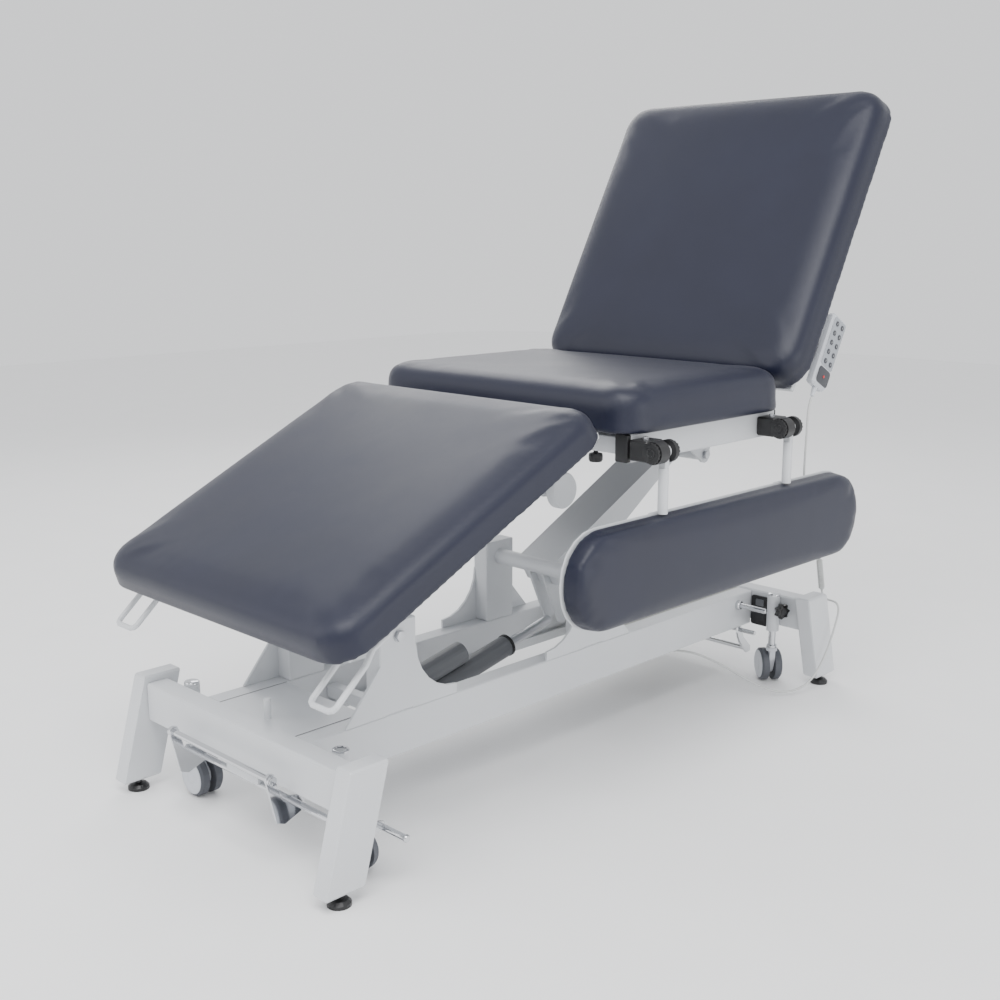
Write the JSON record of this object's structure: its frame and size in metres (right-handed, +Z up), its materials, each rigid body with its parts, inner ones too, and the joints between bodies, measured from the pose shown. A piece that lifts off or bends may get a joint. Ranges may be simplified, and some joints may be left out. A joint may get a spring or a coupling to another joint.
{
  "type": "medical exam table",
  "caption": "Electric medical exam table: padded back, seat and leg sections on a lifting parallel arm base with retractable castors and a fold down padded side rail",
  "frame": {"origin": "on the floor under the middle of the outer box", "axes": "+X from the foot end to the head end, -Y the side with the drop down side rail, +Z up"},
  "size_m": [1.584, 0.765, 1.3371],
  "materials": {
    "white_powder_coat": "satin powder coat",
    "navy_vinyl": "soft grained upholstery vinyl",
    "chrome": "bright chrome plate",
    "zinc_steel": "zinc plated steel",
    "black_plastic": "black moulded nylon",
    "wheel_grey": "grey elastic tread",
    "light_plastic": "light grey moulded plastic",
    "actuator_grey": "grey moulded housing",
    "cord_grey": "soft grey cable sheath"
  },
  "bodies": {
    "base_frame": {"near_rail": "white_powder_coat", "far_rail": "white_powder_coat", "foot_crossbeam": "white_powder_coat", "head_crossbeam": "white_powder_coat", "near_foot_leg": "white_powder_coat", "near_head_leg": "white_powder_coat", "far_foot_leg": "white_powder_coat", "far_head_leg": "white_powder_coat", "near_mid_bracket": "white_powder_coat", "near_foot_bracket": "white_powder_coat", "far_mid_bracket": "white_powder_coat", "far_foot_bracket": "white_powder_coat", "foot_cover": "white_powder_coat", "head_cover": "white_powder_coat", "actuator_crossbar": "white_powder_coat", "near_foot_levelling_foot": "black_plastic", "near_head_levelling_foot": "black_plastic", "far_foot_levelling_foot": "black_plastic", "far_head_levelling_foot": "black_plastic", "control_box": "black_plastic", "base_cable": "cord_grey"},
    "near_foot_castor_stem": {"near_foot_castor_stem": "chrome"},
    "near_foot_castor_yoke": {"near_foot_castor_yoke": "light_plastic"},
    "near_foot_castor_wheels": {"near_foot_castor_wheels": "wheel_grey"},
    "far_foot_castor_stem": {"far_foot_castor_stem": "chrome"},
    "far_foot_castor_yoke": {"far_foot_castor_yoke": "light_plastic"},
    "far_foot_castor_wheels": {"far_foot_castor_wheels": "wheel_grey"},
    "near_head_castor_stem": {"near_head_castor_stem": "chrome"},
    "near_head_castor_yoke": {"near_head_castor_yoke": "light_plastic"},
    "near_head_castor_wheels": {"near_head_castor_wheels": "wheel_grey"},
    "far_head_castor_stem": {"far_head_castor_stem": "chrome"},
    "far_head_castor_yoke": {"far_head_castor_yoke": "light_plastic"},
    "far_head_castor_wheels": {"far_head_castor_wheels": "wheel_grey"},
    "foot_pedal": {"foot_pedal": "chrome"},
    "head_pedal": {"head_pedal": "chrome"},
    "castor_link_bar": {"castor_link_bar": "white_powder_coat"},
    "lift_arm": {"lift_arm": "white_powder_coat"},
    "second_link": {"second_link": "white_powder_coat"},
    "lift_actuator": {"lift_actuator": "actuator_grey"},
    "lift_actuator_rod": {"lift_actuator_rod": "zinc_steel"},
    "seat": {"seat_frame": "white_powder_coat", "seat_cushion": "navy_vinyl", "side_clamp_front": "black_plastic", "side_clamp_rear": "black_plastic", "handset_cord": "cord_grey", "coiled_cord": "cord_grey"},
    "side_rail": {"side_post_front": "white_powder_coat", "side_post_rear": "white_powder_coat", "side_pad": "navy_vinyl"},
    "back": {"back_support": "white_powder_coat", "back_cushion": "navy_vinyl", "handset": "light_plastic", "handset_hook": "black_plastic"},
    "back_actuator": {"back_actuator": "actuator_grey"},
    "back_actuator_rod": {"back_actuator_rod": "zinc_steel"},
    "leg_rest": {"leg_support": "white_powder_coat", "leg_cushion": "navy_vinyl", "near_strap_loop": "white_powder_coat", "far_strap_loop": "white_powder_coat"}
  },
  "joints": [
    {"name": "near_foot_castor_lift", "type": "slide", "parent": "base_frame", "child": "near_foot_castor_stem", "axis": [0, 0, 1], "range_m": [0, 0.02]},
    {"name": "near_foot_castor_swivel", "type": "hinge", "parent": "near_foot_castor_stem", "child": "near_foot_castor_yoke", "pos_m": [-0.67883, -0.1935, 0.081], "axis": [0, 0, 1], "continuous": true},
    {"name": "near_foot_castor_wheel", "type": "hinge", "parent": "near_foot_castor_yoke", "child": "near_foot_castor_wheels", "pos_m": [-0.67365, -0.21282, 0.0382], "axis": [0.9659, 0.2588, 0], "continuous": true},
    {"name": "far_foot_castor_lift", "type": "slide", "parent": "base_frame", "child": "far_foot_castor_stem", "axis": [0, 0, 1], "range_m": [0, 0.02]},
    {"name": "far_foot_castor_swivel", "type": "hinge", "parent": "far_foot_castor_stem", "child": "far_foot_castor_yoke", "pos_m": [-0.67883, 0.2485, 0.081], "axis": [0, 0, 1], "continuous": true},
    {"name": "far_foot_castor_wheel", "type": "hinge", "parent": "far_foot_castor_yoke", "child": "far_foot_castor_wheels", "pos_m": [-0.67883, 0.2285, 0.0382], "axis": [1, 0, 0], "continuous": true},
    {"name": "near_head_castor_lift", "type": "slide", "parent": "base_frame", "child": "near_head_castor_stem", "axis": [0, 0, 1], "range_m": [0, 0.02]},
    {"name": "near_head_castor_swivel", "type": "hinge", "parent": "near_head_castor_stem", "child": "near_head_castor_yoke", "pos_m": [0.58717, -0.1935, 0.081], "axis": [0, 0, 1], "continuous": true},
    {"name": "near_head_castor_wheel", "type": "hinge", "parent": "near_head_castor_yoke", "child": "near_head_castor_wheels", "pos_m": [0.60003, -0.17818, 0.0382], "axis": [-0.766, 0.6428, 0], "continuous": true},
    {"name": "far_head_castor_lift", "type": "slide", "parent": "base_frame", "child": "far_head_castor_stem", "axis": [0, 0, 1], "range_m": [0, 0.02]},
    {"name": "far_head_castor_swivel", "type": "hinge", "parent": "far_head_castor_stem", "child": "far_head_castor_yoke", "pos_m": [0.58717, 0.2485, 0.081], "axis": [0, 0, 1], "continuous": true},
    {"name": "far_head_castor_wheel", "type": "hinge", "parent": "far_head_castor_yoke", "child": "far_head_castor_wheels", "pos_m": [0.60355, 0.25997, 0.0382], "axis": [-0.5736, 0.8192, 0], "continuous": true},
    {"name": "foot_pedal_press", "type": "hinge", "parent": "base_frame", "child": "foot_pedal", "pos_m": [-0.71383, 0.0275, 0.105], "axis": [0, -1, 0], "range_deg": [0, 25]},
    {"name": "head_pedal_press", "type": "hinge", "parent": "base_frame", "child": "head_pedal", "pos_m": [0.56217, 0.0275, 0.1165], "axis": [0, -1, 0], "range_deg": [0, 27]},
    {"name": "link_bar_slide", "type": "slide", "parent": "base_frame", "child": "castor_link_bar", "axis": [1, 0, 0], "range_m": [0, 0.015]},
    {"name": "seat_lift", "type": "hinge", "parent": "base_frame", "child": "lift_arm", "pos_m": [0.02567, 0.0275, 0.346], "axis": [0, -1, 0], "range_deg": [-7, 33], "deforming": ["coiled_cord"]},
    {"name": "seat_level", "type": "hinge", "parent": "lift_arm", "child": "seat", "pos_m": [0.42217, 0.0275, 0.549], "axis": [0, -1, 0], "range_deg": [-33, 7]},
    {"name": "second_link_swing", "type": "hinge", "parent": "base_frame", "child": "second_link", "pos_m": [-0.49283, 0.0275, 0.346], "axis": [0, -1, 0], "range_deg": [-7, 33]},
    {"name": "lift_actuator_tilt", "type": "hinge", "parent": "base_frame", "child": "lift_actuator", "pos_m": [-0.40583, 0.0275, 0.12], "axis": [0, -1, 0], "range_deg": [-1, 4]},
    {"name": "lift_actuator_stroke", "type": "slide", "parent": "lift_actuator", "child": "lift_actuator_rod", "axis": [0.9774, 0, 0.2116], "range_m": [-0.02, 0.075]},
    {"name": "back_recline", "type": "hinge", "parent": "seat", "child": "back", "pos_m": [0.44817, 0.0275, 0.69], "axis": [0, 1, 0], "range_deg": [-5, 61.5], "deforming": ["handset_cord"]},
    {"name": "back_actuator_tilt", "type": "hinge", "parent": "seat", "child": "back_actuator", "pos_m": [0.05417, 0.1975, 0.575], "axis": [0, 1, 0], "range_deg": [-1, 9]},
    {"name": "back_actuator_stroke", "type": "slide", "parent": "back_actuator", "child": "back_actuator_rod", "axis": [0.9968, 0, 0.0797], "range_m": [-0.13, 0.012]},
    {"name": "leg_raise", "type": "hinge", "parent": "seat", "child": "leg_rest", "pos_m": [-0.13383, 0.0275, 0.665], "axis": [0, 1, 0], "range_deg": [0, 25.9]},
    {"name": "side_rail_swing", "type": "hinge", "parent": "seat", "child": "side_rail", "pos_m": [-0.04583, -0.3575, 0.645], "axis": [-1, 0, 0], "range_deg": [0, 180]}
  ],
  "couplings": [
    {"joint": "near_foot_castor_lift", "follows": "foot_pedal_press", "m_per_rad": 0.04125},
    {"joint": "far_foot_castor_lift", "follows": "foot_pedal_press", "m_per_rad": 0.04125},
    {"joint": "near_head_castor_lift", "follows": "foot_pedal_press", "m_per_rad": 0.04125},
    {"joint": "far_head_castor_lift", "follows": "foot_pedal_press", "m_per_rad": 0.04125},
    {"joint": "head_pedal_press", "follows": "foot_pedal_press", "ratio": 1},
    {"joint": "link_bar_slide", "follows": "foot_pedal_press", "m_per_rad": 0.03},
    {"joint": "seat_level", "follows": "seat_lift", "ratio": -1},
    {"joint": "second_link_swing", "follows": "seat_lift", "ratio": 1},
    {"joint": "lift_actuator_tilt", "follows": "seat_lift", "ratio": 0.07},
    {"joint": "lift_actuator_stroke", "follows": "seat_lift", "m_per_rad": 0.12},
    {"joint": "back_actuator_tilt", "follows": "back_recline", "ratio": 0.13},
    {"joint": "back_actuator_stroke", "follows": "back_recline", "m_per_rad": -0.1183}
  ]
}
